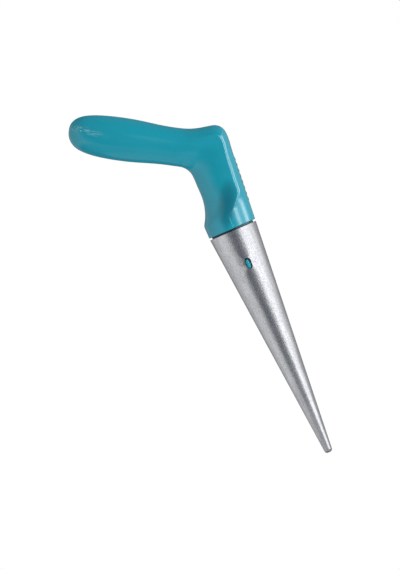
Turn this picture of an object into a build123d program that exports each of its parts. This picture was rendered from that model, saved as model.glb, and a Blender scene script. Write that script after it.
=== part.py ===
from build123d import *

import os
from math import atan, atan2, cos, pi, radians, sin, sqrt, tan

# Hand dibber: a hollow steel cone, closed at its tip, snapped on to the spigot of a moulded handle.
# Millimetres. The origin is the tip, +Z runs up the cone's axis, and +X is the front, where the post
# has its spine. The grip rises back along -X, and the two sides of the XZ plane are alike.

# Cone
CONE_LENGTH = 194.0
MOUTH_DIAMETER = 40.0
TIP_DIAMETER = 6.2
TIP_ROUNDING = 2.4
TIP_SOLID = 12.0
CONE_WALL = 1.5
MOUTH_ROUNDING = 0.4
SLOT_LENGTH = 9.2
SLOT_WIDTH = 4.8
SLOT_BELOW_MOUTH = 29.0

# Collar, which stands off the cone's mouth by a shadow gap
SHADOW_GAP = 1.5
GAP_UNDERCUT = 0.7
COLLAR_HEIGHT = 10.7
COLLAR_BEVEL = 0.4
RIM_ROUNDING = 5.0

# Post. Its spine carries on the line of the cone's side, and its ridges and flat flanks grow out of the
# collar's round from a little below the rim
POST_WIDTH = 30.0
SPINE_CROWN = 8.4
RIDGE_RADIUS = 4.0
RIDGE_RISE = 19.5
FLANK_RISE = 38.0
FLATS_BELOW_RIM = 4.0
NECK_SETBACK = 7.8
NECK_SLOPE = 32.0
NECK_RADIUS = 44.0
HEAD_ABOVE_RIM = 70.2
HEAD_SLOPE = 12.0
HEAD_ROUNDING = 10.5
HEAD_FLAT = 16.0
THROAT_RADIUS = 14.0

# Grip, along an axis that crosses the cone's
GRIP_RISE = 31.5
GRIP_ABOVE_RIM = 58.3
GRIP_REACH = 105.0
WAIST_AT = 21.0
WAIST_DEPTH = 30.8
WAIST_WIDTH = 27.0
BULGE_AT = 62.0
BULGE_DEPTH = 34.8
BULGE_WIDTH = 30.0
NOSE_LIFT = 1.4
NOSE_FULLNESS = 0.74
CURVE_FULLNESS = 0.4

# Low cross ribs on the spine
RIB_COUNT = 8
RIB_PITCH = 4.8
RIB_LENGTH = 9.0
RIB_BREADTH = 2.2
RIB_HEIGHT = 0.3
RIBS_ABOVE_RIM = 6.5

# Spigot inside the cone's mouth
SPIGOT_LENGTH = 58.0
SPIGOT_WALL = 3.6
SPIGOT_RELIEF = 0.35
SEAT_BAND = 6.5
CORE_DIAMETER = 12.0
CORE_ABOVE_RIM = 34.0

# Snap tongues in the spigot's sides, each with a nub in a slot of the cone
TONGUE_WIDTH = 11.0
TONGUE_THICKNESS = 2.2
ROOT_ABOVE_NUB = 21.0
END_BELOW_NUB = 8.0
TONGUE_SLIT = 1.0
ROOT_CLEARANCE = 0.05
NUB_PLAY = 0.6
NUB_RECESS = 0.7
NUB_ROUNDING = 0.5
NUB_RAMP = 14.0

# Sections in each stretch of the handle, and steps along half of each section
COLLAR_SECTIONS = 3
RIM_SECTIONS = 2
NECK_SECTIONS = 8
POST_SECTIONS = 3
HEAD_SECTIONS = 8
GRIP_SECTIONS = 4
NOSE_SECTIONS = 7
SECTION_STEPS = 28

SLOPE = (MOUTH_DIAMETER - TIP_DIAMETER) / 2 / CONE_LENGTH
TAPER = atan(SLOPE)
SHOULDER = CONE_LENGTH + SHADOW_GAP
RIM = SHOULDER + COLLAR_HEIGHT
COLLAR_RADIUS = MOUTH_DIAMETER / 2
SLOT_HEIGHT = CONE_LENGTH - SLOT_BELOW_MOUTH


def skin_radius(height):
    """Outside radius of the cone, and of its line carried on above the mouth."""
    return TIP_DIAMETER / 2 + height * SLOPE


def bore_radius(height):
    """Inside radius of the cone."""
    return skin_radius(height) - CONE_WALL / cos(TAPER)


def turned(*points):
    """Solid turned about Z from (radius, height) points."""
    return revolve(Plane.XZ * make_face(Polyline(*points, close=True)), Axis.Z)


def make_cone():
    """Drawn steel cone with a solid rounded tip and two slots for the nubs."""
    mouth = (MOUTH_DIAMETER / 2, CONE_LENGTH)
    outside = turned((0, 0), (TIP_DIAMETER / 2, 0), mouth, (0, CONE_LENGTH))
    outside = fillet(outside.edges().group_by(Axis.Z)[0], TIP_ROUNDING)
    inside = turned((0, TIP_SOLID), (bore_radius(TIP_SOLID), TIP_SOLID),
                    (bore_radius(CONE_LENGTH), CONE_LENGTH), (0, CONE_LENGTH))
    inside = fillet(inside.edges().group_by(Axis.Z)[0], bore_radius(TIP_SOLID) / 2)
    shell = outside - inside
    shell = fillet(shell.edges().group_by(Axis.Z)[-1], MOUTH_ROUNDING)
    slot = Plane.XZ * Pos(0, SLOT_HEIGHT) * SlotOverall(SLOT_LENGTH, SLOT_WIDTH, rotation=90)
    return shell - extrude(slot, MOUTH_DIAMETER, both=True)


def side_point(x, z):
    """Point of the plane that halves the handle."""
    return Vector(x, 0, z)


GRIP_START = side_point(0, RIM + GRIP_ABOVE_RIM)
GRIP_ALONG = Vector(-cos(radians(GRIP_RISE)), 0, sin(radians(GRIP_RISE)))
GRIP_ACROSS = Vector(sin(radians(GRIP_RISE)), 0, cos(radians(GRIP_RISE)))


def grip_point(along, across):
    """Point of the halving plane from its places along and across the grip's axis."""
    return GRIP_START + GRIP_ALONG * along + GRIP_ACROSS * across


def eased_curve(start, end, start_way, end_way):
    """Curve that leaves start along start_way and comes in to end along end_way."""
    reach = (end - start).length * CURVE_FULLNESS
    return Bezier(start, start + start_way.normalized() * reach, end - end_way.normalized() * reach, end)


def grip_curves(sign):
    """Outline of the grip above (+1) or below (-1) its axis: waist to bulge, and bulge to nose."""
    waist = grip_point(WAIST_AT, sign * WAIST_DEPTH / 2)
    bulge = grip_point(BULGE_AT, sign * BULGE_DEPTH / 2)
    nose = grip_point(GRIP_REACH, NOSE_LIFT)
    run = GRIP_ALONG * (GRIP_REACH - BULGE_AT) * NOSE_FULLNESS
    drop = GRIP_ACROSS * (sign * BULGE_DEPTH / 2 - NOSE_LIFT) * NOSE_FULLNESS
    rise = eased_curve(waist, bulge, GRIP_ALONG, GRIP_ALONG)
    return rise, Bezier(bulge, bulge + run, nose + drop, nose)


def spine_point(height):
    """Point of the spine, on the line of the cone's side."""
    return side_point(skin_radius(height), height)


def back_curves():
    """Outline behind: collar, rounded rim, hollow of the neck, post, and throat up to the grip's waist."""
    foot = side_point(-COLLAR_RADIUS, SHOULDER)
    rim = side_point(-COLLAR_RADIUS, RIM)
    neck = side_point(NECK_SETBACK - COLLAR_RADIUS, RIM + NECK_SETBACK / tan(radians(NECK_SLOPE)))
    waist = grip_point(WAIST_AT, -WAIST_DEPTH / 2)
    throat = waist - GRIP_ALONG * ((waist.X - neck.X) / GRIP_ALONG.X)
    bend = tan(radians(NECK_SLOPE) / 2)
    turn = tan(radians(90 - GRIP_RISE) / 2)
    up = Vector(0, 0, 1)
    slope = (neck - rim).normalized()
    rim_start = rim - up * RIM_ROUNDING * bend
    rim_end = rim + slope * RIM_ROUNDING * bend
    neck_start = neck - slope * NECK_RADIUS * bend
    neck_end = neck + up * NECK_RADIUS * bend
    throat_start = throat - up * THROAT_RADIUS * turn
    throat_end = throat + GRIP_ALONG * THROAT_RADIUS * turn
    return [
        Wire([Line(foot, rim_start)]),
        Wire([TangentArc(rim_start, rim_end, tangent=up)]),
        Wire([Line(rim_end, neck_start), TangentArc(neck_start, neck_end, tangent=slope)]),
        Wire([Line(neck_end, throat_start)]),
        Wire([TangentArc(throat_start, throat_end, tangent=up), Line(throat_end, waist)]),
    ]


def front_curves(heights):
    """Outline in front: spine by the given heights and up to the head, and head to the grip's waist."""
    corner = spine_point(RIM + HEAD_ABOVE_RIM)
    up = Vector(sin(TAPER), 0, cos(TAPER))
    back = Vector(-cos(radians(HEAD_SLOPE)), 0, sin(radians(HEAD_SLOPE)))
    setback = HEAD_ROUNDING * tan((radians(90 - HEAD_SLOPE) + TAPER) / 2)
    crown_start = corner + back * setback
    crown_end = corner + back * HEAD_FLAT
    saddle = eased_curve(crown_end, grip_point(WAIST_AT, WAIST_DEPTH / 2), back, GRIP_ALONG)
    spine = [spine_point(height) for height in heights] + [corner - up * setback]
    return [Wire([Line(low, high)]) for low, high in zip(spine, spine[1:])] + [
        Wire([TangentArc(spine[-1], crown_start, tangent=up), Line(crown_start, crown_end), saddle])
    ]


def mix(start, end, share):
    """Value between start and end."""
    return start + (end - start) * share


def eased(share):
    """Share with a soft start and stop."""
    return share * share * (3 - 2 * share)


def post_form(depth, back, share):
    """Width, crown and share of ridge from collar to post, where ridges grow out of the round."""
    above = max(0, back.Z - RIM + FLATS_BELOW_RIM)
    round_width = COLLAR_RADIUS + skin_radius(min(back.Z, RIM))
    width = mix(round_width, POST_WIDTH, eased(min(1, above / FLANK_RISE)))
    return width, mix(round_width / 2, SPINE_CROWN, eased(min(1, above / RIDGE_RISE))), 1


def head_form(depth, back, share):
    """Width, crown and share of ridge of the head, which turns into the grip's oval."""
    crown = mix(SPINE_CROWN, depth / 2, eased(share))
    return mix(POST_WIDTH, WAIST_WIDTH, eased(share)), crown, 1 - eased(share)


def grip_form(depth, back, share):
    """Width, crown and share of ridge of the grip's oval between waist and bulge."""
    return mix(WAIST_WIDTH, BULGE_WIDTH, eased(share)), depth / 2, 0


def nose_form(depth, back, share):
    """Width, crown and share of ridge of the grip's oval between bulge and nose."""
    return depth * BULGE_WIDTH / BULGE_DEPTH, depth / 2, 0


def ridged_point(facing, crown, side):
    """Place, forwards and aside, where a ridge or the round of the spine faces an angle off the side."""
    spine_radius = (crown ** 2 - RIDGE_RADIUS ** 2 + (side - RIDGE_RADIUS) ** 2) / (crown - RIDGE_RADIUS) / 2
    if facing > atan2(spine_radius - crown, side - RIDGE_RADIUS):
        return crown - spine_radius + spine_radius * sin(facing), spine_radius * cos(facing)
    return RIDGE_RADIUS * sin(facing), side - RIDGE_RADIUS + RIDGE_RADIUS * cos(facing)


def half_section(back, front, width, crown, ridged):
    """Points of half a section of the handle, from its back to its front, in the plane through those and Y.

    It is widest at the crown's depth behind the front, and an oval where no share of it is ridged.
    """
    way = (front - back).normalized()
    widest = front - way * crown
    side = width / 2
    points = [back]
    for step in range(1, SECTION_STEPS):
        turn = pi * step / SECTION_STEPS
        forwards = -cos(turn) * ((front - back).length - crown)
        aside = sin(turn) * side
        if step * 2 > SECTION_STEPS:
            forwards = -cos(turn) * crown
            facing = atan2(-cos(turn) * side, sin(turn) * crown)
            ridge_forwards, ridge_aside = ridged_point(facing, crown, side)
            forwards = mix(forwards, ridge_forwards, ridged)
            aside = mix(aside, ridge_aside, ridged)
        points.append(widest + way * forwards + Vector(0, aside, 0))
    return points + [front]


def half_sections(raised):
    """Half sections from the collar's foot towards the nose, with the front raised off the spine."""
    backs = back_curves() + list(grip_curves(-1))
    fronts = front_curves([(back @ 0).Z for back in backs[:4]]) + list(grip_curves(1))
    forms = [post_form] * 4 + [head_form, grip_form, nose_form]
    counts = [COLLAR_SECTIONS, RIM_SECTIONS, NECK_SECTIONS, POST_SECTIONS, HEAD_SECTIONS, GRIP_SECTIONS,
              NOSE_SECTIONS]
    sections = []
    for back_curve, front_curve, form, count in zip(backs, fronts, forms, counts):
        for step in range(count):
            share = step / count
            back = back_curve @ share
            front = front_curve @ share
            width, crown, ridged = form((front - back).length, back, share)
            front += (front - back).normalized() * raised
            sections.append(half_section(back, front, width, crown + raised, ridged))
    return sections


def make_body(raised=0.0):
    """Collar, post, head and grip.

    A skin is lofted across rails that run from the collar's foot to the nose, and meets its mirror image.
    """
    nose = grip_point(GRIP_REACH, NOSE_LIFT)
    rails = [[*rail, nose] for rail in zip(*half_sections(raised))]
    middle = rails[SECTION_STEPS // 2]
    lengths = [0.0]
    for start, end in zip(middle, middle[1:]):
        lengths.append(lengths[-1] + (end - start).length)
    shares = [length / lengths[-1] for length in lengths]
    skin = Shell.make_loft([Wire([Edge.make_spline(rail, parameters=shares)]) for rail in rails]).face()
    edge = min(skin.edges(), key=lambda edge: max(vertex.Z for vertex in edge.vertices()))
    foot = Face(Wire([edge, edge.mirror(Plane.XZ)]))
    return Solid(Shell([skin, skin.mirror(Plane.XZ), foot]))


def make_ribs():
    """Low cross ribs that follow the crown of the spine."""
    bars = []
    for step in range(RIB_COUNT):
        height = RIM + RIBS_ABOVE_RIM + step * RIB_PITCH
        bars.append(Pos(skin_radius(height), 0, height) * Box(SPINE_CROWN, RIB_LENGTH, RIB_BREADTH))
    return make_body(RIB_HEIGHT) & Compound(bars)


def make_spigot():
    """Hollow spigot, undercut in the shadow gap, and its core.

    It touches the cone in a band at the mouth and one at its lower end.
    """
    low = SHOULDER - SPIGOT_LENGTH
    low_seat = low + SEAT_BAND
    top_seat = CONE_LENGTH - SEAT_BAND
    buried = SHOULDER + COLLAR_HEIGHT / 2
    neck = bore_radius(CONE_LENGTH) - GAP_UNDERCUT
    spigot = turned(
        (0, buried), (neck, buried), (neck, CONE_LENGTH), (bore_radius(CONE_LENGTH), CONE_LENGTH),
        (bore_radius(top_seat), top_seat), (bore_radius(top_seat) - SPIGOT_RELIEF, top_seat),
        (bore_radius(low_seat) - SPIGOT_RELIEF, low_seat), (bore_radius(low_seat), low_seat),
        (bore_radius(low), low), (0, low))
    core = turned(
        (0, low), (bore_radius(low) - SPIGOT_WALL, low), (bore_radius(SHOULDER) - SPIGOT_WALL, SHOULDER),
        (CORE_DIAMETER / 2, RIM), (CORE_DIAMETER / 2, RIM + CORE_ABOVE_RIM), (0, RIM + CORE_ABOVE_RIM))
    return spigot, core


def tongue_plane(sign):
    """Plane on the cone's bore at a slot: local Y runs up the bore and local Z outwards."""
    return Plane(origin=(0, sign * bore_radius(SLOT_HEIGHT), SLOT_HEIGHT), x_dir=(-sign, 0, 0),
                 z_dir=(0, sign * cos(TAPER), -sin(TAPER)))


END_RADIUS = bore_radius(SLOT_HEIGHT - END_BELOW_NUB)
TONGUE_DEPTH = SPIGOT_RELIEF + END_RADIUS - sqrt(END_RADIUS ** 2 - TONGUE_WIDTH ** 2 / 4)
ROOT_DEPTH = TONGUE_DEPTH + TONGUE_THICKNESS / 2


def make_tongue(sign):
    """Flat tongue with a rounded root and a nub, sloped on the side that the cone slides over."""
    length = ROOT_ABOVE_NUB + END_BELOW_NUB
    middle = (ROOT_ABOVE_NUB - END_BELOW_NUB) / 2
    plate = Pos(0, middle, -ROOT_DEPTH) * Box(TONGUE_WIDTH, length, TONGUE_THICKNESS)
    root = Pos(0, ROOT_ABOVE_NUB, -ROOT_DEPTH) * Rot(0, 90, 0) * Cylinder(TONGUE_THICKNESS / 2, TONGUE_WIDTH)
    face = SlotOverall(SLOT_LENGTH - 2 * NUB_PLAY, SLOT_WIDTH - 2 * NUB_PLAY, rotation=90)
    top = CONE_WALL - NUB_RECESS
    nub = extrude(Pos(0, 0, -ROOT_DEPTH) * face, ROOT_DEPTH + top)
    ramp = Pos(0, 0, top) * Rot(-NUB_RAMP, 0, 0) * Pos(0, -SLOT_LENGTH, SLOT_LENGTH) * Box(
        2 * SLOT_WIDTH, 2 * SLOT_LENGTH, 2 * SLOT_LENGTH)
    nub = nub - ramp
    nub = fillet(nub.faces().sort_by(Axis.Z)[-1].edges(), NUB_ROUNDING)
    return tongue_plane(sign) * (plate + root + nub)


def make_tongue_window(sign):
    """Space for a tongue in the spigot's wall, with a round seat for its root."""
    length = ROOT_ABOVE_NUB + END_BELOW_NUB + TONGUE_SLIT
    width = TONGUE_WIDTH + 2 * TONGUE_SLIT
    middle = ROOT_ABOVE_NUB - length / 2
    opening = Pos(0, middle, -END_RADIUS / 2 + SPIGOT_RELIEF) * Box(width, length, END_RADIUS)
    seat = Pos(0, ROOT_ABOVE_NUB, -ROOT_DEPTH) * Rot(0, 90, 0) * Cylinder(
        TONGUE_THICKNESS / 2 + ROOT_CLEARANCE, width)
    return tongue_plane(sign) * (opening + seat)


def make_handle():
    """One moulding: grip, post, collar and spigot."""
    spigot, core = make_spigot()
    wide = COLLAR_RADIUS + COLLAR_BEVEL
    under = SHOULDER - COLLAR_BEVEL
    bevel = turned((COLLAR_RADIUS - 2 * COLLAR_BEVEL, under), (wide, under), (wide, under + 3 * COLLAR_BEVEL))
    handle = make_body() - bevel + spigot - core + make_ribs()
    return handle - make_tongue_window(1) - make_tongue_window(-1)


if __name__ == "__main__":
    os.makedirs("parts", exist_ok=True)
    export_step(make_handle(), "parts/handle.step")
    export_step(make_cone(), "parts/cone.step")
    export_step(make_tongue(1), "parts/left_tongue.step")
    export_step(make_tongue(-1), "parts/right_tongue.step")
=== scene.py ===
"""Looks of a hand dibber: a gloss teal handle snapped into a hollow galvanised steel cone."""

import math

import bmesh
import bpy
from mathutils import Matrix, Vector


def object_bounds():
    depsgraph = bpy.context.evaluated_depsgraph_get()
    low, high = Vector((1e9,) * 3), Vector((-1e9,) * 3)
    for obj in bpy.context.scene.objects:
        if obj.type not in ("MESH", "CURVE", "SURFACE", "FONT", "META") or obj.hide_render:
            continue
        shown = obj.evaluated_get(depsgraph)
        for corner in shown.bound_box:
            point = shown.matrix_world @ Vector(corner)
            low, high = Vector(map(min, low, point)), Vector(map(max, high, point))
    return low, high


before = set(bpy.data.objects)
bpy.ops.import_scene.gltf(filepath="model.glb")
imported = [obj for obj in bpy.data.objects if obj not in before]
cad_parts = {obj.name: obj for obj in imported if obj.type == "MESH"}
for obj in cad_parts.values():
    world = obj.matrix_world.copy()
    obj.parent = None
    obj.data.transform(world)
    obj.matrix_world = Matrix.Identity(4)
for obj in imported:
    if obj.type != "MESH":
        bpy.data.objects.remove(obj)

CAD_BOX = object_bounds()
MIDDLE = (CAD_BOX[0] + CAD_BOX[1]) / 2
PLASTIC_NODES = ("handle", "left_tongue", "right_tongue")
WHITE = (1, 1, 1, 1)
BLACK = (0, 0, 0, 1)

# The picture: its size, metres to a pixel, the tip in pixels, the cone's lean and the camera's turn
PICTURE_WIDTH = 400
PICTURE_HEIGHT = 570
PIXEL = 0.000803
TIP_PIXEL = (329.22, 452.17)
LEAN = math.radians(23.48)
VIEW_TURN = math.radians(-3.6)
CAMERA_DISTANCE = 0.6

# Places on the handle, in metres. A pair is where a mask starts and where it is full
COLLAR_FOOT = 0.1955
COLLAR_RIM = 0.2062
CONE_MOUTH = (0.1941, 0.1937)
GRIP_RISE = math.radians(31.5)
GRIP_CROSSING = 0.2645

# Scratches on the side of the nose, with a streaky highlight painted along them, by places along the grip
# and off a line that slants up it
SCUFF_GLINT_START = (0.07, 0.098)
SCUFF_GLINT_END = (0.1042, 0.102)
SCUFF_GLINT_EDGE = (0.0036, 0.0006)
SCUFF_GLINT_SLANT = 0.1

# Parting line up the collar's side, which leans forward from just below the rim
SEAM_BEND = COLLAR_RIM - 0.0006
SEAM_LEAN = 1.3
SEAM_EDGE = (0.0005, 0.0001)
SEAM_TOP = (COLLAR_RIM + 0.004, COLLAR_RIM + 0.003)

# Painted shade above the collar: a leaning oval, behind the leaning foot of the ridge
SHADE_PATCH_X = 0.003
SHADE_PATCH_Z = 0.214
SHADE_PATCH_HALF_WIDTH = 0.0105
SHADE_PATCH_HALF_HEIGHT = 0.022
SHADE_PATCH_LEAN = 0.4
RIDGE_FOOT_Z = 0.203
RIDGE_FOOT_LEAN = 0.76
RIDGE_FOOT_EDGE = (0.0035, -0.001)

# Recesses where shade is painted: the gap under the collar, and all but the oval face of the nub inside the
# cone
GAP_TOP = (COLLAR_FOOT + 0.0002, COLLAR_FOOT - 0.0001)
GAP_SKIN = (0.0199, 0.0195)
NUB_X = -0.0006
NUB_Z = 0.1641
NUB_HALF_WIDTH = 0.0019
NUB_HALF_HEIGHT = 0.0041
NUB_EDGE = (0.75, 1.1)

# Colours of the plastic, and how far three of them cover it
DARK_TEAL = (0.003, 0.25, 0.335, 1)
PALE_TEAL = (0.005, 0.3, 0.405, 1)
# Painted highlight on the scratched side of the nose
PAINTED_GLINT_TEAL = (0.3, 0.55, 0.62, 1)
SEAM_TEAL = (0.12, 0.45, 0.54, 1)
# Painted shade above the collar
PAINTED_SHADE_TEAL = (0.001, 0.06, 0.1, 1)
# Painted shade in the recesses
RECESS_SHADE_TEAL = (0.0, 0.042, 0.068, 1)
PAINTED_GLINT_COVER = 0.55
SEAM_COVER = 0.3
PAINTED_SHADE_COVER = 0.52

# Grain of the plastic, in waves to the metre, and its gloss
FLOW_SCALE = 170
FLOW_STRETCH = 0.12
SCRATCH_SCALE = 900
SCRATCH_EDGE = (0.47, 0.62)
WAVE_SCALE = 45
SMUDGE_SCALE = 90
PLASTIC_ROUGHNESS = 0.09
SMUDGE_ROUGHNESS = 0.07
SCUFF_ROUGHNESS = 0.1
RECESS_SHADE_ROUGHNESS = 0.4
PLASTIC_IOR = 1.5
PLASTIC_RELIEF = 0.001
WAVE_HEIGHT = 0.035
SEAM_HEIGHT = 0.08

# Grain of the zinc: each layer's scale, its stretch along the cone and its share of the speckle
DARK_ZINC = (0.41, 0.417, 0.445, 1)
PALE_ZINC = (0.58, 0.583, 0.605, 1)
GRAIN_SCALE = 1150
GRAIN_STRETCH = (1, 1, 0.7)
GRAIN_SHARE = 0.6
STREAK_SCALE = 420
STREAK_STRETCH = (1, 1, 0.12)
STREAK_SHARE = 0.25
CLOUD_SCALE = 90
CLOUD_STRETCH = (1, 1, 0.6)
CLOUD_SHARE = 0.15
SPECKLE_EDGE = (0.39, 0.61)
SMOOTH_TIP = (0.1, 0.02)
ZINC_ROUGHNESS = 0.2
CLOUD_ROUGHNESS = 0.1
TIP_POLISH = 0.02
ZINC_RELIEF = 0.00015
TIP_RELIEF_LOSS = 0.85

# Floor and fill of the studio, and the counts of its round shells
FLOOR_RADIUS = 1.6
FLOOR_SIDES = 96
FLOOR_COLOUR = (0.86, 0.86, 0.86, 1)
FLOOR_LEVEL = 0.72
FILL_LEVEL = 0.68
SHELL_SEGMENTS = 48
SHELL_RINGS = 24

# Two wide lamps: name, bearing and rise in degrees, and radiance
LAMPS = (("key_light", 40, -18, 4.4), ("side_fill", 90, 25, 1.8))
LAMP_SIZE = 0.6
LAMP_DISTANCE = 0.9

# Panels that reflections show: levels by bearing in three bands, and the rises over which the bands blend
PANEL_RADIUS = 1.3
LOW_LEVELS = ((-180, 0.1), (-150, 0.12), (-90, 0.25), (-30, 0.45), (40, 0.5), (180, 0.15))
MIDDLE_LEVELS = (
    (-180, 0.05), (-150, 0.34), (-134, 0.66), (-105, 0.78), (-88, 1.0), (-44, 1.0), (-30, 0.45),
    (-20, 0.15), (-4, 0.21), (4, 0.27), (14, 0.24), (24, 0.65), (38, 1.9), (46, 2.3), (60, 2.05),
    (75, 1.75), (92, 1.45), (104, 1.2), (118, 0.7), (150, 0.34), (180, 0.05),
)
HIGH_LEVELS = ((-180, 0.2), (-75, 0.4), (-30, 0.3), (45, 0.2), (110, 0.3), (180, 0.15))
PANEL_TOP_LEVEL = 2.5
LEFT_SIDE = (10.8, -10.8)
MIDDLE_FROM_RIGHT = (-26, -16)
MIDDLE_FROM_LEFT = (-32, -18)
HIGH_FROM_RIGHT = (18, 28)
HIGH_FROM_LEFT = (38, 56)
DIM_LEVEL = 0.3
DIM_TINT = (0.9, 0.98, 1.12)

# Strips that the gloss of the plastic shows: levels by bearing, and the rises of their heads and feet
STRIP_RADIUS = 1.1
STRIP_LEVELS = (
    (32, 0), (36, 1), (41, 4.2), (46, 6.4), (51, 4.4), (57, 1.3), (65, 0.6), (72, 1), (80, 4.4), (88, 7.4),
    (95, 4.8), (102, 1.1), (110, 0),
)
STRIP_TOP_LEVEL = 7.4
STRIP_HEAD = (26, 19)
STRIP_FOOT = (-14, -7)

# The front strip, past its side, reaches lower with a share of its level
FRONT_STRIP_SIDE = (64.8, 75.6)
FRONT_STRIP_FOOT = (-48, -40)
FRONT_STRIP_SHARE = 0.8

# Cards round the foot of the cone: name, bearings, heights where they end and where they are full, and level
CARDS = (
    ("near_card", range(-130, 31, 5), 0.035, -0.012, 0.62),
    ("side_card", range(75, 166, 5), 0.16, -0.06, 0.4),
)
CARD_RADIUS = 0.25
CARD_LOW = -0.25


class Signal:
    """An output of a node. Operators on it add Math nodes, so a mask reads as an expression."""

    def __init__(self, finish, socket):
        self.finish = finish
        self.socket = socket

    def maths(self, operation, *terms):
        return self.finish.node("Math", {"operation": operation}, dict(enumerate(terms)))

    def __add__(self, other):
        return self.maths("ADD", self, other)

    def __radd__(self, other):
        return self.maths("ADD", other, self)

    def __sub__(self, other):
        return self.maths("SUBTRACT", self, other)

    def __rsub__(self, other):
        return self.maths("SUBTRACT", other, self)

    def __mul__(self, other):
        return self.maths("MULTIPLY", self, other)

    def __rmul__(self, other):
        return self.maths("MULTIPLY", other, self)

    def __truediv__(self, other):
        return self.maths("DIVIDE", self, other)

    def __pow__(self, other):
        return self.maths("POWER", self, other)

    def __abs__(self):
        return self.maths("ABSOLUTE", self)


class Finish:
    """A tree of nodes under construction, for a surface or for the world."""

    def __init__(self, owner):
        owner.use_nodes = True
        self.tree = owner.node_tree
        self.tree.nodes.clear()

    def node(self, kind, settings=None, sockets=None, output=0):
        """Adds a node: its settings first, then the values or links of its sockets."""
        made = self.tree.nodes.new("ShaderNode" + kind)
        for name, value in (settings or {}).items():
            if name == "stops":
                self.set_stops(made.color_ramp, value)
            else:
                setattr(made, name, value)
        for name, value in (sockets or {}).items():
            if isinstance(value, Signal):
                self.tree.links.new(value.socket, made.inputs[name])
            else:
                made.inputs[name].default_value = value
        return Signal(self, made.outputs[output] if made.outputs else None)

    def set_stops(self, ramp, stops):
        while len(ramp.elements) < len(stops):
            ramp.elements.new(1)
        for element, (place, colour) in zip(ramp.elements, stops):
            element.position = place
            element.color = colour

    def close(self, kind, shader):
        """Ends the tree in its output."""
        self.node(kind, None, {"Surface": shader})

    def step(self, value, start, end):
        """Rises smoothly from 0 where the value is start to 1 where it is end."""
        limits = {"Value": value, "From Min": start, "From Max": end}
        return self.node("MapRange", {"interpolation_type": "SMOOTHSTEP"}, limits)

    def mix(self, share, first, second):
        """A colour between two."""
        return self.node("Mix", {"data_type": "RGBA"}, {0: share, 6: first, 7: second}, output=2)

    def oval(self, across, up):
        """Under 1 inside an oval, by places in shares of its half width and half height."""
        return across * across + up * up

    def parts(self, vector):
        """The three parts of a vector."""
        return [self.node("SeparateXYZ", None, {0: vector}, output=part) for part in "XYZ"]

    def stretched(self, vector, scale):
        return self.node("VectorMath", {"operation": "MULTIPLY"}, {0: vector, 1: scale})

    def noise(self, vector, scale, detail=2.0, roughness=0.5):
        sockets = {"Vector": vector, "Scale": scale, "Detail": detail, "Roughness": roughness}
        return self.node("TexNoise", None, sockets)

    def bearing(self, x, y):
        """The bearing of a place in degrees, 0 to the camera and 90 to the right of it."""
        return x.maths("ARCTAN2", x, 0 - y) * math.degrees(1)

    def place_on_shell(self, radius):
        """The bearing and the rise of a place on a shell, in degrees."""
        x, y, z = self.parts(self.node("TexCoord", output="Object"))
        return self.bearing(x, y), z.maths("ARCSINE", z / radius) * math.degrees(1)

    def levels(self, bearing, by_bearing, top):
        """A share of the top level by bearing."""
        stops = []
        for stop, level in by_bearing:
            tint = DIM_TINT if level < DIM_LEVEL else WHITE[:3]
            stops.append(((stop + 180) / 360, [part * level / top for part in tint] + [1]))
        return self.node("ValToRGB", {"stops": stops}, {0: (bearing + 180) / 360})


def new_surface(name):
    material = bpy.data.materials.new(name)
    return material, Finish(material)


def nose_scuffs_and_painted_glint(finish, along, across, lengthwise):
    """Fine scratches on the side of the nose, along which a streaky highlight is painted."""
    scratches = finish.step(finish.noise(lengthwise, SCRATCH_SCALE), *SCRATCH_EDGE)
    off_line = abs(across - (along - SCUFF_GLINT_START[0]) * SCUFF_GLINT_SLANT)
    worn = finish.step(along, *SCUFF_GLINT_START) * finish.step(along, *SCUFF_GLINT_END)
    return scratches * worn * finish.step(off_line, *SCUFF_GLINT_EDGE)


def parting_line(finish, x, z):
    """A thin line up the side of the collar."""
    past_bend = z.maths("MAXIMUM", z - SEAM_BEND, 0)
    return finish.step(abs(x - past_bend * SEAM_LEAN), *SEAM_EDGE) * finish.step(z, *SEAM_TOP)


def flank_painted_shade(finish, x, z):
    """Painted shade above the collar, as far as the foot of the ridge."""
    upward = z - SHADE_PATCH_Z
    aside = x - SHADE_PATCH_X - upward * SHADE_PATCH_LEAN
    oval = finish.oval(aside / SHADE_PATCH_HALF_WIDTH, upward / SHADE_PATCH_HALF_HEIGHT)
    return finish.step(oval, 1, 0) * finish.step(x - (z - RIDGE_FOOT_Z) * RIDGE_FOOT_LEAN, *RIDGE_FOOT_EDGE)


def recess_shade_mask(finish, x, y, z):
    """The gap under the collar, and the plastic inside the cone but for the nub, where shade is painted."""
    radius = (x * x + y * y) ** 0.5
    gap = finish.step(z, *GAP_TOP) * finish.step(radius, *GAP_SKIN)
    beside_nub = finish.oval((x - NUB_X) / NUB_HALF_WIDTH, (z - NUB_Z) / NUB_HALF_HEIGHT)
    inside = finish.step(z, *CONE_MOUTH)
    return gap * (1 - inside) + inside * finish.step(beside_nub, *NUB_EDGE)


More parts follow.
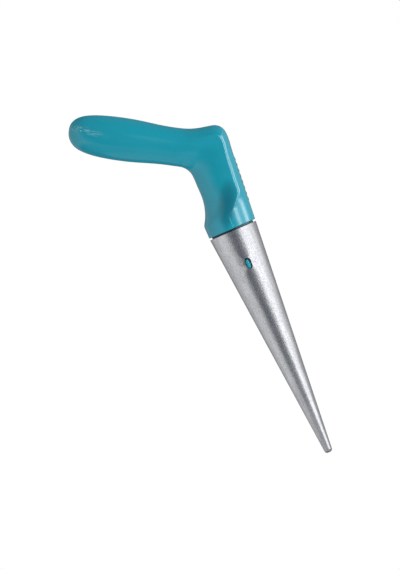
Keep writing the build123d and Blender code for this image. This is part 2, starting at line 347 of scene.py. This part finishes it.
def gloss_plastic():
    """Self-coloured moulded plastic: flow marks, a slightly wavy gloss, a scratched nose with a painted
    highlight, and painted shade above the collar and in the recesses.
    """
    material, finish = new_surface("gloss_teal_plastic")
    place = finish.node("TexCoord", output="Object")
    x, y, z = finish.parts(place)
    above = z - GRIP_CROSSING
    along = above * math.sin(GRIP_RISE) - x * math.cos(GRIP_RISE)
    across = x * math.sin(GRIP_RISE) + above * math.cos(GRIP_RISE)
    lengthwise = finish.node("CombineXYZ", None, {0: along * FLOW_STRETCH, 1: across, 2: y})
    scuffs_and_glint = nose_scuffs_and_painted_glint(finish, along, across, lengthwise)
    seam = parting_line(finish, x, z)
    recess_shade = recess_shade_mask(finish, x, y, z)

    colour = finish.mix(finish.noise(lengthwise, FLOW_SCALE, detail=4), DARK_TEAL, PALE_TEAL)
    # A streaky highlight is painted on the nose, along its scratches
    colour = finish.mix(scuffs_and_glint * PAINTED_GLINT_COVER, colour, PAINTED_GLINT_TEAL)
    colour = finish.mix(seam * SEAM_COVER, colour, SEAM_TEAL)
    # Shade is painted above the collar, behind the foot of the ridge
    colour = finish.mix(flank_painted_shade(finish, x, z) * PAINTED_SHADE_COVER, colour, PAINTED_SHADE_TEAL)
    # Shade is painted into the gap under the collar and round the nub inside the cone
    colour = finish.mix(recess_shade, colour, RECESS_SHADE_TEAL)

    smudge = finish.noise(place, SMUDGE_SCALE, detail=4)
    roughness = PLASTIC_ROUGHNESS + smudge * SMUDGE_ROUGHNESS
    roughness = roughness + scuffs_and_glint * SCUFF_ROUGHNESS + recess_shade * RECESS_SHADE_ROUGHNESS
    relief = finish.noise(place, WAVE_SCALE, detail=1) * WAVE_HEIGHT + seam * SEAM_HEIGHT
    bump = finish.node("Bump", None, {"Strength": 1, "Distance": PLASTIC_RELIEF, "Height": relief})
    shader = finish.node("BsdfPrincipled", None, {
        "Base Color": colour,
        "Roughness": roughness,
        "IOR": PLASTIC_IOR,
        "Normal": bump,
    })
    finish.close("OutputMaterial", shader)
    return material


def zinc_coat():
    """Galvanised steel: a satin zinc coat with a fine salt-and-pepper grain, smoother towards the tip."""
    material, finish = new_surface("galvanised_zinc")
    place = finish.node("TexCoord", output="Object")
    grain = finish.noise(finish.stretched(place, GRAIN_STRETCH), GRAIN_SCALE, detail=3, roughness=0.6)
    streak = finish.noise(finish.stretched(place, STREAK_STRETCH), STREAK_SCALE)
    cloud = finish.noise(finish.stretched(place, CLOUD_STRETCH), CLOUD_SCALE, detail=3)
    smooth = finish.step(finish.parts(place)[2], *SMOOTH_TIP)
    speckle = finish.step(grain * GRAIN_SHARE + streak * STREAK_SHARE + cloud * CLOUD_SHARE, *SPECKLE_EDGE)
    relief = grain * (1 - smooth * TIP_RELIEF_LOSS)
    bump = finish.node("Bump", None, {"Strength": 1, "Distance": ZINC_RELIEF, "Height": relief})
    shader = finish.node("BsdfPrincipled", None, {
        "Base Color": finish.mix(speckle, DARK_ZINC, PALE_ZINC),
        "Metallic": 1.0,
        "Roughness": ZINC_ROUGHNESS + cloud * CLOUD_ROUGHNESS - smooth * TIP_POLISH,
        "Normal": bump,
    })
    finish.close("OutputMaterial", shader)
    return material


def dress(node, material):
    """Gives a solid its finish."""
    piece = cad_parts[node]
    piece.data.materials.clear()
    piece.data.materials.append(material)


def toward(bearing, rise):
    """The direction at a bearing, 0 to the camera and 90 to the right of it, and a rise, in degrees."""
    flat = math.cos(math.radians(rise))
    turn = math.radians(bearing) + VIEW_TURN
    return Vector((math.sin(turn) * flat, -math.cos(turn) * flat, math.sin(math.radians(rise))))


def gather(name, nodes):
    """A set of pieces that a light is kept to."""
    pieces = bpy.data.collections.new(name)
    for node in nodes:
        pieces.objects.link(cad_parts[node])
    return pieces


def make_lamps():
    """Two lamps that light matt colour, that no gloss shows, and that leave the floor even."""
    tool = gather("tool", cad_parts)
    for name, bearing, rise, radiance in LAMPS:
        light = bpy.data.lights.new(name, "AREA")
        light.size = LAMP_SIZE
        light.energy = radiance * math.pi * LAMP_SIZE ** 2
        lamp = bpy.data.objects.new(name, light)
        direction = toward(bearing, rise)
        facing = direction.to_track_quat("Z", "Y").to_matrix().to_4x4()
        lamp.matrix_world = Matrix.Translation(MIDDLE + direction * LAMP_DISTANCE) @ facing
        lamp.visible_camera = False
        lamp.visible_glossy = False
        lamp.light_linking.receiver_collection = tool
        bpy.context.scene.collection.objects.link(lamp)


def show_in_reflections(name, mesh, material):
    """Adds a piece of the studio that only reflections show, turned as the camera is."""
    mesh.materials.append(material)
    piece = bpy.data.objects.new(name, mesh)
    piece.rotation_euler.z = VIEW_TURN
    piece.visible_camera = False
    piece.visible_diffuse = False
    piece.visible_shadow = False
    piece.visible_transmission = False
    bpy.context.scene.collection.objects.link(piece)
    return piece


def make_shell(name, radius, material):
    """A round shell about the object's middle."""
    form = bmesh.new()
    bmesh.ops.create_uvsphere(form, u_segments=SHELL_SEGMENTS, v_segments=SHELL_RINGS, radius=radius)
    mesh = bpy.data.meshes.new(name)
    form.to_mesh(mesh)
    form.free()
    shell = show_in_reflections(name, mesh, material)
    shell.location = MIDDLE
    return shell


def panel_light():
    """Soft panels of light and dark, in three bands that blend into each other."""
    material, finish = new_surface("panel_light")
    bearing, rise = finish.place_on_shell(PANEL_RADIUS)
    left = finish.step(bearing, *LEFT_SIDE)
    colour = finish.levels(bearing, LOW_LEVELS, PANEL_TOP_LEVEL)
    for levels, from_right, from_left in (
        (MIDDLE_LEVELS, MIDDLE_FROM_RIGHT, MIDDLE_FROM_LEFT),
        (HIGH_LEVELS, HIGH_FROM_RIGHT, HIGH_FROM_LEFT),
    ):
        start, end = [right + left * (other - right) for right, other in zip(from_right, from_left)]
        band = finish.levels(bearing, levels, PANEL_TOP_LEVEL)
        colour = finish.mix(finish.step(rise, start, end), colour, band)
    lit = finish.node("Emission", None, {"Color": colour, "Strength": PANEL_TOP_LEVEL})
    finish.close("OutputMaterial", lit)
    return material


def strip_light():
    """Two soft strips of light on a clear ground."""
    material, finish = new_surface("strip_light")
    bearing, rise = finish.place_on_shell(STRIP_RADIUS)
    front = finish.step(bearing, *FRONT_STRIP_SIDE) * finish.step(rise, *FRONT_STRIP_FOOT)
    foot = front.maths("MAXIMUM", front * FRONT_STRIP_SHARE, finish.step(rise, *STRIP_FOOT))
    standing = foot * finish.step(rise, *STRIP_HEAD)
    colour = finish.mix(standing, BLACK, finish.levels(bearing, STRIP_LEVELS, STRIP_TOP_LEVEL))
    lit = finish.node("Emission", None, {"Color": colour, "Strength": STRIP_TOP_LEVEL})
    clear = finish.node("BsdfTransparent")
    finish.close("OutputMaterial", finish.node("AddShader", None, {0: clear, 1: lit}))
    return material


def make_shells():
    """One shell of panels round everything, and inside it one of strips, for the plastic alone."""
    make_shell("panel_shell", PANEL_RADIUS, panel_light())
    strips = make_shell("strip_shell", STRIP_RADIUS, strip_light())
    strips.light_linking.receiver_collection = gather("plastic_pieces", PLASTIC_NODES)


def make_card(name, bearings, top, full, level):
    """A curved card round the foot of the cone, fading upwards and to its ends."""
    corners = []
    for height in (CARD_LOW, top):
        for bearing in bearings:
            turn = math.radians(bearing)
            corners.append((CARD_RADIUS * math.sin(turn), -CARD_RADIUS * math.cos(turn), height))
    count = len(bearings)
    mesh = bpy.data.meshes.new(name)
    mesh.from_pydata(corners, [], [(k, k + 1, count + k + 1, count + k) for k in range(count - 1)])
    material, finish = new_surface(name + "_light")
    x, y, z = finish.parts(finish.node("TexCoord", output="Object"))
    bearing = finish.bearing(x, y)
    ends = finish.step(bearing, bearings[0], bearings[3]) * finish.step(bearing, bearings[-1], bearings[-3])
    clear = finish.node("BsdfTransparent")
    lit = finish.node("Emission", None, {"Color": WHITE, "Strength": level})
    fade = finish.step(z, top, full) * ends
    finish.close("OutputMaterial", finish.node("MixShader", None, {0: fade, 1: clear, 2: lit}))
    show_in_reflections(name, mesh, material)


def make_floor():
    """A round pale floor at the tip, which throws an even light back up and lets a lamp below it through."""
    corners = []
    for side in range(FLOOR_SIDES):
        turn = math.tau * side / FLOOR_SIDES
        corners.append((FLOOR_RADIUS * math.cos(turn), FLOOR_RADIUS * math.sin(turn), CAD_BOX[0].z))
    mesh = bpy.data.meshes.new("floor")
    mesh.from_pydata(corners, [], [range(FLOOR_SIDES)])
    material, finish = new_surface("pale_floor")
    seen = finish.node("BsdfDiffuse", None, {"Color": FLOOR_COLOUR})
    thrown = finish.node("Emission", None, {"Color": WHITE, "Strength": FLOOR_LEVEL})
    bounced = finish.node("LightPath", output="Is Diffuse Ray")
    finish.close("OutputMaterial", finish.node("MixShader", None, {0: bounced, 1: seen, 2: thrown}))
    mesh.materials.append(material)
    floor = bpy.data.objects.new("floor", mesh)
    floor.visible_glossy = False
    floor.visible_shadow = False
    bpy.context.scene.collection.objects.link(floor)


def make_world():
    """White where it is seen, straight or in a reflection, and a soft fill otherwise."""
    world = bpy.data.worlds.new("studio")
    bpy.context.scene.world = world
    finish = Finish(world)
    seen = 0
    for ray in ("Is Camera Ray", "Is Glossy Ray", "Is Transmission Ray"):
        seen = finish.node("LightPath", output=ray) + seen
    level = FILL_LEVEL + (1 - FILL_LEVEL) * seen.maths("MINIMUM", seen, 1)
    finish.close("OutputWorld", finish.node("Background", None, {"Color": WHITE, "Strength": level}))


def make_camera():
    """Looks at the side of the tool with no perspective, so that the picture has one scale all over."""
    back = toward(0, 0)
    aside = toward(90, 0)
    overhead = toward(0, 90)
    right = aside * math.cos(LEAN) - overhead * math.sin(LEAN)
    up = aside * math.sin(LEAN) + overhead * math.cos(LEAN)
    across = (PICTURE_WIDTH / 2 - TIP_PIXEL[0]) * PIXEL
    above = (TIP_PIXEL[1] - PICTURE_HEIGHT / 2) * PIXEL
    lens = bpy.data.cameras.new("camera")
    lens.type = "ORTHO"
    lens.ortho_scale = PICTURE_HEIGHT * PIXEL
    camera = bpy.data.objects.new("camera", lens)
    place = Matrix.Translation(right * across + up * above + back * CAMERA_DISTANCE)
    camera.matrix_world = place @ Matrix((right, up, back)).transposed().to_4x4()
    bpy.context.scene.collection.objects.link(camera)
    bpy.context.scene.camera = camera


plastic = gloss_plastic()
zinc = zinc_coat()
for node in PLASTIC_NODES:
    dress(node, plastic)
dress("cone", zinc)

make_floor()
make_world()
make_camera()
make_lamps()
make_shells()
for card in CARDS:
    make_card(*card)

bpy.context.scene.view_settings.view_transform = "Standard"
